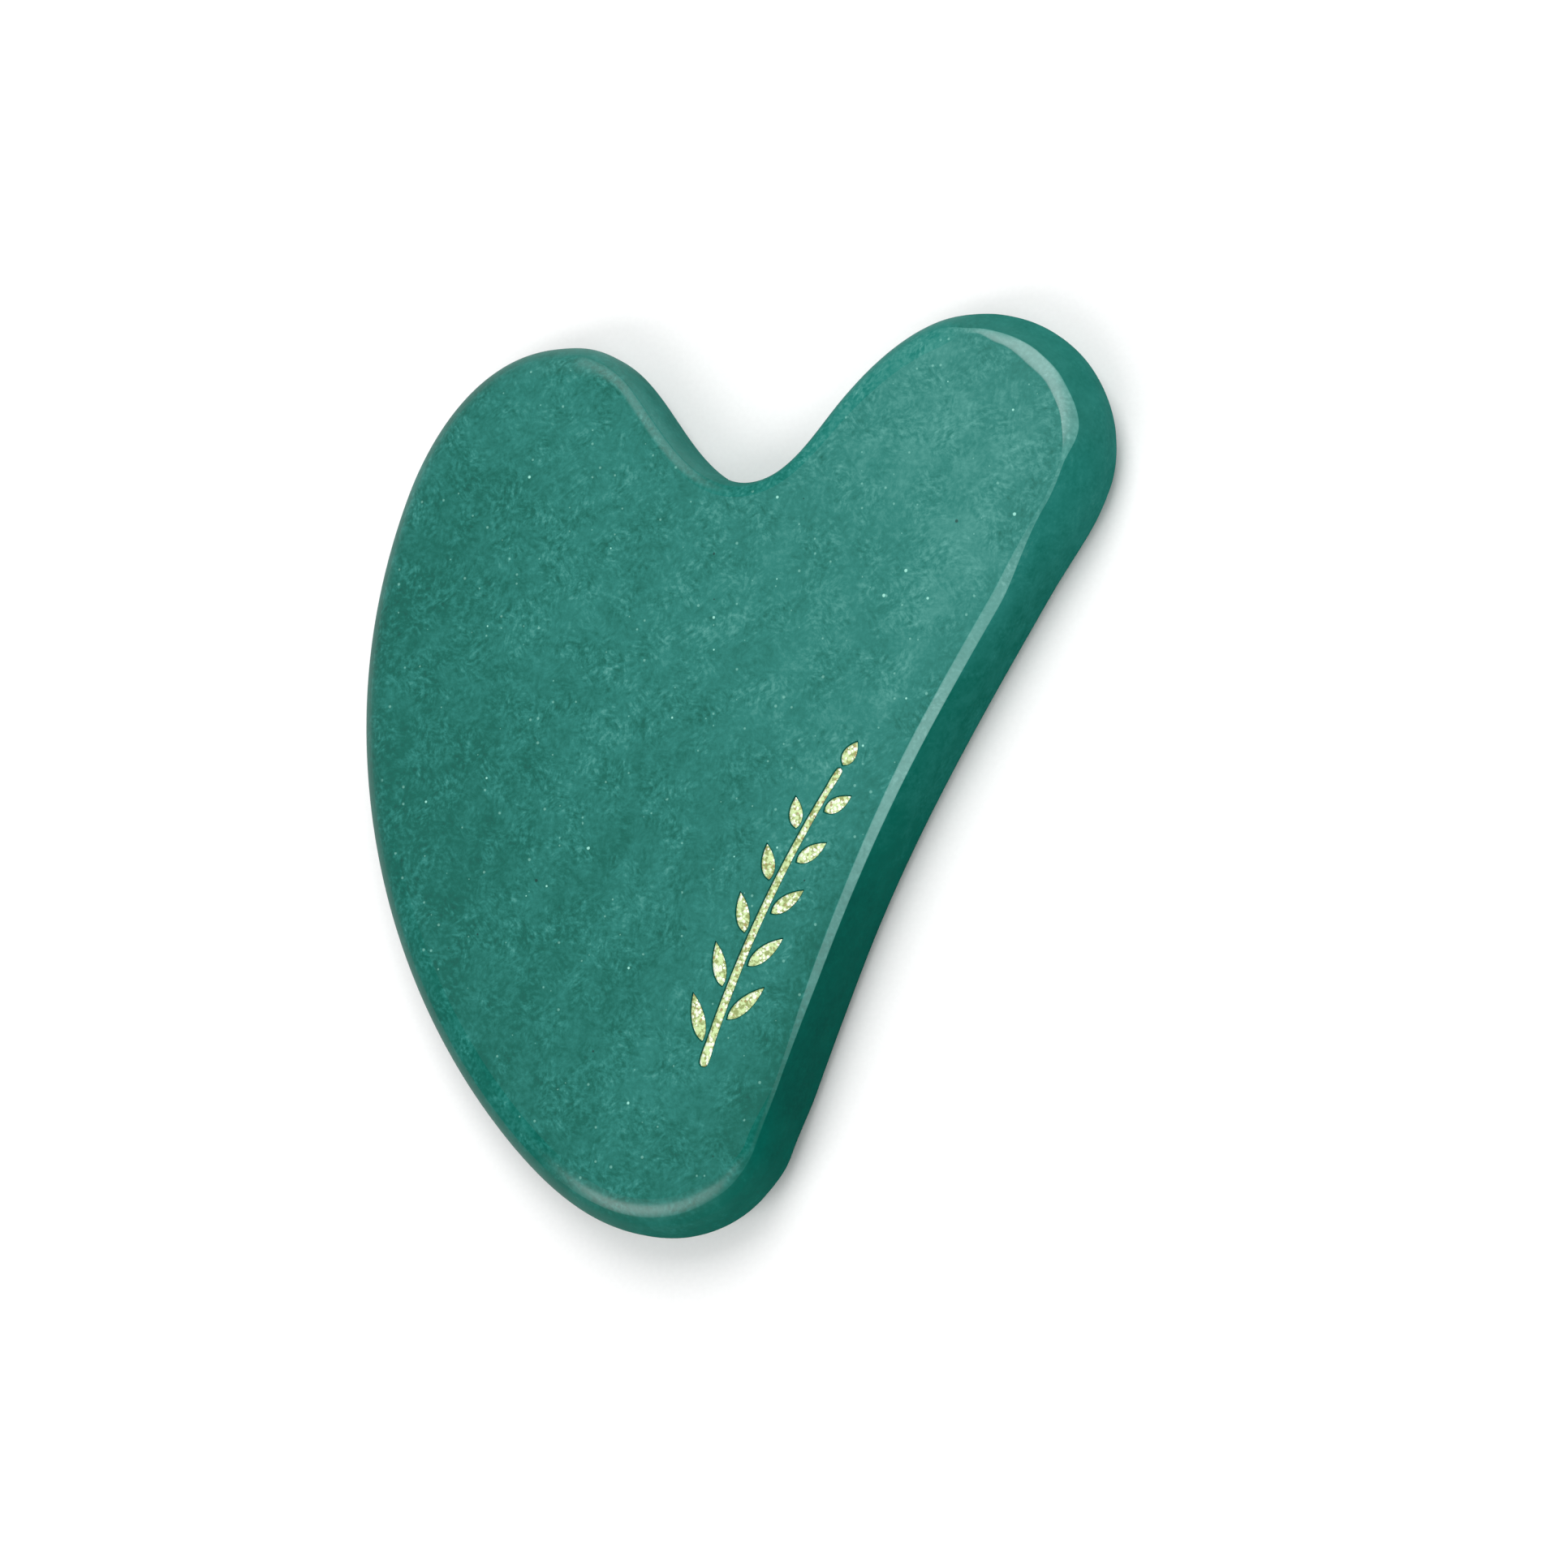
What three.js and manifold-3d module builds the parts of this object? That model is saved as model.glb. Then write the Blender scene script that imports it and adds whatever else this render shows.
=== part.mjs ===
// A heart-shaped gua sha board: a flat jade plate with rounded edges, and a leaf sprig engraved in
// its front face. Every groove of the sprig holds its own gold fill.
//
// Sizes are in millimetres. The plate lies on its back face, at Z = 0, with the front face up and
// the tip of the heart towards -Y. The origin is at the middle of the outline's bounding box.
import * as THREE from 'three';
import Module from 'manifold-3d';
import { mergeVertices } from 'three/addons/utils/BufferGeometryUtils.js';

// The jade plate.
const PLATE_THICKNESS = 7.4;
const EDGE_RADIUS = 2.4;
const EDGE_STEPS = 5;
const OUTLINE_STEPS = 12; // along the outline, from one anchor to the next

// The outline runs clockwise through these anchors, in the direction that each heading gives, in
// degrees from +X.
const OUTLINE = [
  { name: 'left lobe top', x: -15.8, y: 37.8, heading: 0 },
  { name: 'left notch flank', x: -12.3, y: 37.4, heading: -17 },
  { name: 'notch foot', x: -3.8, y: 28.5, heading: -52 },
  { name: 'notch', x: 2.5, y: 24.4, heading: 0 },
  { name: 'right notch flank', x: 10.6, y: 30.5, heading: 47 },
  { name: 'right lobe top', x: 22.3, y: 36.8, heading: 0 },
  { name: 'right lobe side', x: 33.5, y: 25.5, heading: -90 },
  { name: 'right flank top', x: 27.2, y: 13.1, heading: -123 },
  { name: 'right flank waist', x: 10.7, y: -16.1, heading: -113 },
  { name: 'right flank foot', x: 4.5, y: -31.6, heading: -111 },
  { name: 'tip', x: -5.2, y: -37.8, heading: 180 },
  { name: 'lower left flank', x: -19.8, y: -29.3, heading: 131 },
  { name: 'left side', x: -33.5, y: 7.2, heading: 90 },
  { name: 'left shoulder', x: -29.8, y: 26, heading: 68 },
];

// The gold sprig, which follows the right flank. Its stem bows towards the middle of the plate.
const STEM_BASE = new THREE.Vector2(-0.8, -24);
const STEM_TIP = new THREE.Vector2(11.2, -0.9);
const STEM_BOW = 0.9;
const STEM_BASE_WIDTH = 0.75;
const STEM_TIP_WIDTH = 0.5;
const STEM_STEPS = 16;
const CAP_STEPS = 6; // round each end of the stem
const LEAF_PAIRS = 5;
const LEAF_LENGTH = 4;
const LEAF_TAPER = 0.09; // share of its length that each pair loses to the one below
const LEAF_WIDTH = 1.15;
const LEAF_FOOT_HANDLE = 0.18; // where its curves' handles stand, as shares of its length
const LEAF_TIP_HANDLE = 0.6;
const LEAF_END_GROWTH = 2; // how much more a leaf's sharp ends grow than its sides
const LEAF_ANGLE = 32; // degrees from the stem
const LEAF_OFFSET = 0.75; // from the stem's centreline to the foot of a leaf
const LEAF_STEPS = 8;
const FIRST_LEAF = 0.06; // share of the stem's length
const LEAF_PITCH = 0.18;
const LEAF_STAGGER = 0.09; // how much further along the stem a right leaf starts than its left one
const TIP_LEAF_GAP = 0.6;

// The engraving and its gold.
const GROOVE_DEPTH = 0.4;
const FILL_CLEARANCE = 0.05; // round a fill and under it
const FILL_SUNK = 0.05; // below the front face
const CUT_ABOVE = 1; // how far a cutter stands over the front face

const wasm = await Module();
wasm.setup();

const jade = new THREE.MeshStandardMaterial({ color: 0x2f7f70, roughness: 0.2, metalness: 0 });
const gold = new THREE.MeshStandardMaterial({ color: 0xd8c67c, roughness: 0.4, metalness: 1 });

// How long a curve's handle is, as a share of its chord, where the curve leaves its chord at one
// angle and meets the far end at another. Equal angles give a circular arc.
function handleShare(leaving, arriving) {
  const swing =
    (Math.sin(leaving) - Math.sin(arriving) / 16) *
    (Math.sin(arriving) - Math.sin(leaving) / 16) *
    (Math.cos(leaving) - Math.cos(arriving));
  const golden = Math.sqrt(5);
  const slack =
    1 + ((golden - 1) / 2) * Math.cos(leaving) + ((3 - golden) / 2) * Math.cos(arriving);
  return (2 + Math.SQRT2 * swing) / (3 * slack);
}

function wrapAngle(angle) {
  return Math.atan2(Math.sin(angle), Math.cos(angle));
}

function direction(angle) {
  return new THREE.Vector2(Math.cos(angle), Math.sin(angle));
}

// The heart: one smooth curve from each anchor to the next.
function heartShape() {
  const shape = new THREE.Shape();
  shape.moveTo(OUTLINE[0].x, OUTLINE[0].y);
  OUTLINE.forEach((from, i) => {
    const to = OUTLINE[(i + 1) % OUTLINE.length];
    const start = new THREE.Vector2(from.x, from.y);
    const end = new THREE.Vector2(to.x, to.y);
    const chord = end.clone().sub(start);
    const slope = Math.atan2(chord.y, chord.x);
    const startHeading = THREE.MathUtils.degToRad(from.heading);
    const endHeading = THREE.MathUtils.degToRad(to.heading);
    const leaving = wrapAngle(startHeading - slope);
    const arriving = wrapAngle(slope - endHeading);
    const startHandle = direction(startHeading).multiplyScalar(
      chord.length() * handleShare(leaving, arriving),
    );
    const endHandle = direction(endHeading).multiplyScalar(
      chord.length() * handleShare(arriving, leaving),
    );
    const first = start.add(startHandle);
    const second = end.clone().sub(endHandle);
    shape.bezierCurveTo(first.x, first.y, second.x, second.y, end.x, end.y);
  });
  return shape;
}

function plateGeometry() {
  const geometry = new THREE.ExtrudeGeometry(heartShape(), {
    depth: PLATE_THICKNESS - 2 * EDGE_RADIUS,
    curveSegments: OUTLINE_STEPS,
    bevelEnabled: true,
    bevelThickness: EDGE_RADIUS,
    bevelSize: EDGE_RADIUS,
    bevelOffset: -EDGE_RADIUS,
    bevelSegments: EDGE_STEPS,
  });
  return geometry.translate(0, 0, EDGE_RADIUS);
}

// The stem's centreline.
function stemCurve() {
  const along = STEM_TIP.clone().sub(STEM_BASE);
  const across = new THREE.Vector2(-along.y, along.x).normalize();
  const middle = STEM_BASE.clone().lerp(STEM_TIP, 0.5);
  // A quadratic curve passes half as far from its chord as its control point lies.
  const control = middle.addScaledVector(across, 2 * STEM_BOW);
  return new THREE.QuadraticBezierCurve(STEM_BASE, control, STEM_TIP);
}

// A tapering stroke with round ends. Grow widens it all round.
function stemShape(grow) {
  const curve = stemCurve();
  const edgePoint = (t, turn) => {
    const halfWidth = THREE.MathUtils.lerp(STEM_BASE_WIDTH, STEM_TIP_WIDTH, t) / 2 + grow;
    const outward = direction(curve.getTangent(t).angle() + turn);
    return curve.getPoint(t).addScaledVector(outward, halfWidth);
  };
  const side = (turn) =>
    Array.from({ length: STEM_STEPS + 1 }, (_, i) => edgePoint(i / STEM_STEPS, turn));
  const cap = (t, from) =>
    Array.from({ length: CAP_STEPS - 1 }, (_, i) =>
      edgePoint(t, from + (Math.PI * (i + 1)) / CAP_STEPS),
    );
  const right = -Math.PI / 2;
  const left = Math.PI / 2;
  return new THREE.Shape([
    ...side(right),
    ...cap(1, right),
    ...side(left).reverse(),
    ...cap(0, left),
  ]);
}

// A leaf along +X from the origin, fullest before its middle. Grow widens it all round, and
// lengthens its sharp ends by more.
function leafShape(length, grow) {
  const foot = -grow * LEAF_END_GROWTH;
  const tip = length + grow * LEAF_END_GROWTH;
  const footHandle = length * LEAF_FOOT_HANDLE;
  const tipHandle = length * LEAF_TIP_HANDLE;
  // A curve swings out to three quarters of the way to its two handles.
  const swing = (LEAF_WIDTH / 2 + grow) / 0.75;
  const shape = new THREE.Shape();
  shape.moveTo(foot, 0);
  shape.bezierCurveTo(footHandle, -swing, tipHandle, -swing, tip, 0);
  shape.bezierCurveTo(tipHandle, swing, footHandle, swing, foot, 0);
  return shape;
}

// Each leaf's name, length, foot and heading.
function leafPlaces() {
  const curve = stemCurve();
  const places = [];
  for (let pair = 0; pair < LEAF_PAIRS; pair++) {
    for (const side of ['left', 'right']) {
      const sign = side === 'left' ? 1 : -1;
      const stagger = side === 'left' ? 0 : LEAF_STAGGER;
      const t = FIRST_LEAF + pair * LEAF_PITCH + stagger;
      const heading = curve.getTangent(t).angle();
      const across = direction(heading + (sign * Math.PI) / 2);
      places.push({
        name: `gold_leaf_${side}_${pair + 1}`,
        length: LEAF_LENGTH * (1 - LEAF_TAPER * pair),
        foot: curve.getPoint(t).addScaledVector(across, LEAF_OFFSET),
        heading: heading + sign * THREE.MathUtils.degToRad(LEAF_ANGLE),
      });
    }
  }
  const heading = curve.getTangent(1).angle();
  places.push({
    name: 'gold_leaf_tip',
    length: LEAF_LENGTH * (1 - LEAF_TAPER * LEAF_PAIRS),
    foot: STEM_TIP.clone().addScaledVector(direction(heading), TIP_LEAF_GAP),
    heading,
  });
  return places;
}

// A shape as a straight-sided block from one height to another.
function block(shape, bottom, top) {
  const geometry = new THREE.ExtrudeGeometry(shape, {
    depth: top - bottom,
    bevelEnabled: false,
    curveSegments: LEAF_STEPS,
  });
  return geometry.translate(0, 0, bottom);
}

function leafBlock(place, grow, bottom, top) {
  return block(leafShape(place.length, grow), bottom, top)
    .rotateZ(place.heading)
    .translate(place.foot.x, place.foot.y, 0);
}

function toSolid(geometry) {
  const bare = geometry.clone();
  bare.deleteAttribute('normal');
  bare.deleteAttribute('uv');
  const merged = mergeVertices(bare, 1e-4);
  return new wasm.Manifold(
    new wasm.Mesh({
      numProp: 3,
      vertProperties: merged.attributes.position.array,
      triVerts: new Uint32Array(merged.index.array),
    }),
  );
}

function toGeometry(solid) {
  const mesh = solid.getMesh();
  const geometry = new THREE.BufferGeometry();
  geometry.setAttribute('position', new THREE.BufferAttribute(mesh.vertProperties, 3));
  geometry.setIndex(new THREE.BufferAttribute(mesh.triVerts, 1));
  geometry.computeVertexNormals();
  return geometry;
}

function addPart(group, name, geometry, material) {
  const mesh = new THREE.Mesh(geometry, material);
  mesh.name = name;
  group.add(mesh);
}

const grooveFloor = PLATE_THICKNESS - GROOVE_DEPTH;
const cutterTop = PLATE_THICKNESS + CUT_ABOVE;
const fillBottom = grooveFloor + FILL_CLEARANCE;
const fillTop = PLATE_THICKNESS - FILL_SUNK;
const leaves = leafPlaces();

// The plate, with a groove for each fill.
let plate = toSolid(plateGeometry());
plate = plate.subtract(toSolid(block(stemShape(FILL_CLEARANCE), grooveFloor, cutterTop)));
for (const place of leaves) {
  plate = plate.subtract(toSolid(leafBlock(place, FILL_CLEARANCE, grooveFloor, cutterTop)));
}

const guaSha = new THREE.Group();
addPart(guaSha, 'jade_plate', toGeometry(plate), jade);
addPart(guaSha, 'gold_stem', block(stemShape(0), fillBottom, fillTop), gold);
for (const place of leaves) {
  addPart(guaSha, place.name, leafBlock(place, 0, fillBottom, fillTop), gold);
}

export default guaSha;
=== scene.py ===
"""A heart-shaped jade gua sha board with a gold leaf sprig, lying on a pale floor under softboxes."""

import math

import bmesh
import bpy
import numpy as np
from mathutils import Matrix, Vector
from mathutils.geometry import delaunay_2d_cdt
from mathutils.kdtree import KDTree


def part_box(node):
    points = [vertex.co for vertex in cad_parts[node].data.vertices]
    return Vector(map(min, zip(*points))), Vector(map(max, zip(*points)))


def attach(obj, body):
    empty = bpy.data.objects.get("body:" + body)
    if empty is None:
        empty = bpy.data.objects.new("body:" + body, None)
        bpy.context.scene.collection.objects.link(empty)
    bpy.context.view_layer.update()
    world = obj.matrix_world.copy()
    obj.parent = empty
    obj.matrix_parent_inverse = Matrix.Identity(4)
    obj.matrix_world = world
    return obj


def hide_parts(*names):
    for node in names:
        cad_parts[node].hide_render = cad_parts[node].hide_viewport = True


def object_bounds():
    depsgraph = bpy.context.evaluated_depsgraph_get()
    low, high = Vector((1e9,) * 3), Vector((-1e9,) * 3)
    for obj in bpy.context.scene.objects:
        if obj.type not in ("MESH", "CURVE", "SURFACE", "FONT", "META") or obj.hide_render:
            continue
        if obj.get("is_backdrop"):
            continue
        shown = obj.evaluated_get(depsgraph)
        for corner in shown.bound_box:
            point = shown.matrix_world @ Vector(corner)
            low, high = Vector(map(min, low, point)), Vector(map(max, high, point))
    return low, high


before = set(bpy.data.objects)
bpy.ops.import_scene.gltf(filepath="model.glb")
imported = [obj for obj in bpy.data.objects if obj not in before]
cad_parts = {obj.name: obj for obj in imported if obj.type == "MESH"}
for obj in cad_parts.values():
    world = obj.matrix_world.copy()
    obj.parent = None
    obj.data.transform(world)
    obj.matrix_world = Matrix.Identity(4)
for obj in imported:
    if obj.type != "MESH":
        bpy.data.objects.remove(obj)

cad_low, cad_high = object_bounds()


# ---------------------------------------------------------------------------------------------
# The camera
# A long lens looks down at the board from over its right flank, so that the face, the flank's
# polished chamfer and the wall below it all show. It frames the board left of the middle.
# ---------------------------------------------------------------------------------------------
mm = 0.001
camera_lens = 120.0  # on a sensor 36 wide, both in the camera's own millimetres
camera_distance = 429.3 * mm
camera_side = Vector((0.4006, -0.1736, 0.8997))  # from the board towards the camera
camera_aim = Vector((4.7, -0.9, 0.0)) * mm  # from the middle of the board's box

camera_data = bpy.data.cameras.new("studio_camera")
camera_data.lens = camera_lens
camera_data.sensor_width = 36.0
camera = bpy.data.objects.new("studio_camera", camera_data)
bpy.context.scene.collection.objects.link(camera)
camera_back = camera_side.normalized()
camera_right = Vector((0.0, 1.0, 0.0)).cross(camera_back).normalized()
camera_up = camera_back.cross(camera_right)
camera.matrix_world = Matrix.Translation(
    (cad_low + cad_high) / 2 + camera_aim + camera_back * camera_distance
) @ Matrix((camera_right, camera_up, camera_back)).transposed().to_4x4()
bpy.context.scene.camera = camera


# ---------------------------------------------------------------------------------------------
# The jade board
# One slab of blue-green jade, sawn, ground to a heart and polished. Its edge is ground by hand, so
# it changes along the outline: a crisp bevel runs round the right lobe and a narrow one down the
# right flank, and the rest is rounded off. The sprig's grooves are cut into the front face.
# ---------------------------------------------------------------------------------------------
outline_points = 900
face_grid = 1.0 * mm  # spacing of the points inside a flat face
groove_spacing = 0.12 * mm  # along a groove's rim
groove_grid = 0.3 * mm
groove_bevel = 0.06 * mm
groove_shade_pale = 0.1  # painted shade: the grooves' walls are this dark as if in shadow; polish never reaches them
crease_margin = 0.04 * mm  # from a crease to the rings that keep it crisp
corner_turn = math.radians(60)  # a rim that turns more than this at a point has a corner there

# How the edge is ground, in millimetres. A polished band starts face_edge in from the outline and
# ends band_edge in from it, band_drop below the face. Belly is the power that bends the band, 1 for
# a flat one, and wall_belly the power that bends the wall from there to the middle of the slab. The
# back edge is a plain round one. From 0 to 1, polish says how glossy the band is, wall_polish the
# top of the wall and foot_polish its foot. The last four set the colour's paleness at the face's
# rim, on the band, at the wall's top and at its foot. They hold painted light: a band paler than the
# rim is a painted highlight, and a rim, wall or foot darker than the face is painted shade.
soft = dict(
    face_edge=3.0, band_edge=1.3, band_drop=0.53, belly=2.0, wall_belly=3.5, back_radius=3.0,
    polish=0.55, wall_polish=0.4, foot_polish=0.35,
    rim_shade_pale=0.45, band_highlight_pale=0.45, wall_shade_pale=0.41, foot_shade_pale=0.33,
)
lobe = dict(
    soft, band_drop=0.45, belly=1.5, polish=1.0, wall_polish=0.3, foot_polish=0.055,
    rim_shade_pale=0.37, band_highlight_pale=0.53, wall_shade_pale=0.275, foot_shade_pale=0.275,
)
flank = dict(
    face_edge=1.85, band_edge=1.03, band_drop=0.5, belly=1.0, wall_belly=2.0, back_radius=1.6,
    polish=0.95, wall_polish=0.03, foot_polish=0.03,
    rim_shade_pale=0.37, band_highlight_pale=0.61, wall_shade_pale=0.28, foot_shade_pale=0.25,
)
notch = dict(
    soft, face_edge=1.66, band_edge=0.7, band_drop=0.35,
    polish=0.42, wall_polish=0.5, foot_polish=0.1,
    rim_shade_pale=0.38, band_highlight_pale=0.42, wall_shade_pale=0.42, foot_shade_pale=0.38,
)
tip = dict(soft, face_edge=2.8, band_edge=1.4, band_drop=0.45, polish=0.85, foot_polish=0.05)
edge_places = [
    # name, how far right and how far up as shares of half the board's size, how the edge is there
    ("left lobe top", -0.47, 1.0, soft),
    (
        "notch top", -0.36, 0.966,
        dict(soft, face_edge=2.8, band_edge=1.0, wall_shade_pale=0.47, foot_shade_pale=0.43),
    ),
    ("notch flank", -0.21, 0.886, notch),
    ("notch low", -0.06, 0.741, dict(notch, polish=0.36, rim_shade_pale=0.42)),
    ("notch foot", 0.07, 0.645, dict(notch, polish=0.1, wall_polish=0.1, rim_shade_pale=0.47)),
    ("right lobe crown", 0.57, 0.965, dict(soft, polish=0.1, wall_polish=0.1)),
    (
        "right lobe's first crease", 0.695, 0.968,
        dict(lobe, face_edge=2.35, band_edge=1.95, band_drop=0.14, polish=0.6, wall_belly=2.4),
    ),
    (
        "right lobe top", 0.79, 0.95,
        dict(lobe, face_edge=2.9, band_edge=2.0, band_drop=0.36, wall_belly=1.9),
    ),
    ("right lobe shoulder", 0.895, 0.886, dict(lobe, face_edge=3.2, band_edge=1.92, wall_belly=1.8)),
    ("right lobe corner", 0.961, 0.807, dict(lobe, face_edge=2.95, band_edge=1.75, wall_belly=1.9)),
    (
        "right lobe side", 0.997, 0.695,
        dict(
            lobe, face_edge=2.7, band_edge=1.45, band_drop=0.55, belly=1.2, wall_belly=2.0,
            back_radius=2.6, rim_shade_pale=0.35,
        ),
    ),
    (
        "right lobe foot", 0.965, 0.582,
        dict(
            flank, face_edge=2.4, band_edge=2.18, band_drop=0.12, wall_belly=1.6, back_radius=2.1,
            polish=0.3, rim_shade_pale=0.33, band_highlight_pale=0.45, wall_shade_pale=0.31, foot_shade_pale=0.29,
        ),
    ),
    (
        "right flank's first crease", 0.92, 0.48,
        dict(
            flank, face_edge=2.3, band_edge=2.04, band_drop=0.13, wall_belly=1.6, back_radius=1.8,
            polish=0.3, rim_shade_pale=0.33, band_highlight_pale=0.46, wall_shade_pale=0.34, foot_shade_pale=0.29,
        ),
    ),
    (
        "right flank top", 0.776, 0.291,
        dict(flank, polish=0.48, rim_shade_pale=0.37, band_highlight_pale=0.55, wall_shade_pale=0.36, foot_shade_pale=0.25),
    ),
    ("right flank middle", 0.6, 0.026, flank),
    (
        "right flank waist", 0.313, -0.423,
        dict(
            flank, face_edge=1.38, band_edge=0.74, band_drop=0.4, polish=0.65,
            rim_shade_pale=0.33, band_highlight_pale=0.5, wall_shade_pale=0.17, foot_shade_pale=0.16,
        ),
    ),
    (
        "right flank foot", 0.179, -0.688,
        dict(
            flank, face_edge=1.1, band_edge=0.8, band_drop=0.2, wall_belly=2.3, back_radius=1.7,
            polish=0.22, rim_shade_pale=0.34, band_highlight_pale=0.38, wall_shade_pale=0.18, foot_shade_pale=0.17,
        ),
    ),
    (
        "tip's right shoulder", 0.119, -0.82,
        dict(
            soft, face_edge=1.75, band_edge=1.0, band_drop=0.3, back_radius=2.5,
            polish=0.08, wall_polish=0.03, foot_polish=0.03,
            rim_shade_pale=0.38, band_highlight_pale=0.37, wall_shade_pale=0.28, foot_shade_pale=0.25,
        ),
    ),
    (
        "tip's right corner", 0.06, -0.90,
        dict(
            soft, face_edge=2.4, band_edge=1.2, band_drop=0.45, back_radius=3.3,
            polish=0.5, wall_polish=0.2, foot_polish=0.05, wall_shade_pale=0.36, foot_shade_pale=0.31,
        ),
    ),
    ("tip's right", -0.03, -0.966, dict(tip, back_radius=3.2, polish=0.62)),
    ("tip", -0.18, -0.992, tip),
    ("tip's left", -0.328, -0.952, dict(tip, polish=0.9, foot_polish=0.2)),
    ("lower left side", -0.52, -0.82, dict(soft, polish=0.15)),
    ("left side", -1.0, 0.19, soft),
]
face_pale = 0.448
face_polish = 0.5
rim_fade = 4.0 * mm  # how far in from the band the rim's paleness reaches
band_steps = (0.0, 0.06, 0.2, 0.35, 0.5, 0.65, 0.8, 0.94, 1.0)  # across the band
wall_rings = 16  # from the band to the middle of the slab
wall_crowding = 1.4  # above 1, the wall's rings stand closer together near the band
back_rings = 14  # round the back edge


def flat_rims(node, height):
    """The closed rims, at one height, of a CAD node's flat areas there or of its walls' ends."""
    mesh = bmesh.new()
    mesh.from_mesh(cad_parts[node].data)
    bmesh.ops.remove_doubles(mesh, verts=mesh.verts, dist=0.001 * mm)
    level = {v for v in mesh.verts if abs(v.co.z - height) < 0.01 * mm}
    neighbours = {}
    for edge in mesh.edges:
        flat_faces = [f for f in edge.link_faces if level.issuperset(f.verts)]
        if level.issuperset(edge.verts) and len(flat_faces) < 2:
            for a, b in (edge.verts, reversed(edge.verts)):
                neighbours.setdefault(a, []).append(b)
    rims = []
    while neighbours:
        start = next(iter(neighbours))
        rim = [start]
        following = neighbours.pop(start)[0]
        while following in neighbours:
            rim.append(following)
            onward = [v for v in neighbours.pop(following) if v in neighbours]
            following = onward[0] if onward else start
        rims.append(anticlockwise(np.array([v.co.xy for v in rim])))
    mesh.free()
    return sorted(rims, key=lambda rim: -np.ptp(rim, axis=0).max())


def outward_from(loop):
    """At each point of an anticlockwise loop, the unit vector that points out of it."""
    along = np.roll(loop, -1, axis=0) - np.roll(loop, 1, axis=0)
    outward = np.stack([along[:, 1], -along[:, 0]], axis=1)
    return outward / np.linalg.norm(outward, axis=1)[:, None]


def anticlockwise(loop):
    x, y = loop.T
    twice_area = np.sum(x * np.roll(y, -1) - np.roll(x, -1) * y)
    return loop if twice_area > 0 else loop[::-1]


def spline_points(knots, closed, spacing):
    """Points at even steps along a smooth curve through the knots. The last knot isn't repeated."""
    if closed:
        knots = np.vstack([knots, knots[:1]])
    steps = np.linalg.norm(np.diff(knots, axis=0), axis=1)
    slopes = np.diff(knots, axis=0) / steps[:, None]
    count = len(knots) - 1 if closed else len(knots)
    system = np.zeros((count, count))
    target = np.zeros((count, 2))
    for i in range(count):
        if closed or 0 < i < count - 1:
            before, after = 1 / steps[i - 1], 1 / steps[i]
            system[i, i] = 2 * (before + after)
            system[i, (i - 1) % count] += before
            system[i, (i + 1) % count] += after
            target[i] = 3 * (slopes[i - 1] * before + slopes[i] * after)
        else:
            inner = 1 if i == 0 else count - 2
            system[i, i], system[i, inner] = 2, 1
            target[i] = 3 * slopes[0 if i == 0 else -1]
    tangents = np.linalg.solve(system, target)
    if closed:
        tangents = np.vstack([tangents, tangents[:1]])
    t = np.linspace(0, 1, 16, endpoint=False)[:, None]
    fine = []
    for i, step in enumerate(steps):
        fine.append(
            (1 + 2 * t) * (1 - t) ** 2 * knots[i]
            + t * (1 - t) ** 2 * step * tangents[i]
            + t * t * (3 - 2 * t) * knots[i + 1]
            - t * t * (1 - t) * step * tangents[i + 1]
        )
    fine = np.vstack([*fine, knots[-1:]])
    along = np.r_[0, np.cumsum(np.linalg.norm(np.diff(fine, axis=0), axis=1))]
    number = max(2, round(along[-1] / spacing))
    even = np.linspace(0, along[-1], number, endpoint=False)
    return np.stack([np.interp(even, along, fine[:, axis]) for axis in (0, 1)], axis=1)


def smooth_rim(rim, spacing):
    """A CAD rim as a finer and smoother one, which keeps its corners."""
    forward = np.roll(rim, -1, axis=0) - rim
    heading = np.arctan2(forward[:, 1], forward[:, 0])
    turn = np.abs((heading - np.roll(heading, 1) + math.pi) % (2 * math.pi) - math.pi)
    corners = np.flatnonzero(turn > corner_turn)
    if len(corners) == 0:
        return spline_points(rim, True, spacing)
    rim = np.roll(rim, -corners[0], axis=0)
    stops = [*(corners - corners[0]), len(rim)]
    rim = np.vstack([rim, rim[:1]])
    stretches = [rim[a : b + 1] for a, b in zip(stops, stops[1:])]
    return np.vstack([spline_points(stretch, False, spacing) for stretch in stretches])


def inside(points, loop):
    """Which of the points lie inside a closed loop, by the even-odd rule."""
    x, y = points[:, :1], points[:, 1:]
    (x0, y0), (x1, y1) = loop.T, np.roll(loop, -1, axis=0).T
    spans = (y0 > y) != (y1 > y)
    rise = np.where(y1 == y0, 1.0, y1 - y0)
    crossing = x0 + (y - y0) * (x1 - x0) / rise
    return (spans & (x < crossing)).sum(axis=1) % 2 == 1


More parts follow.
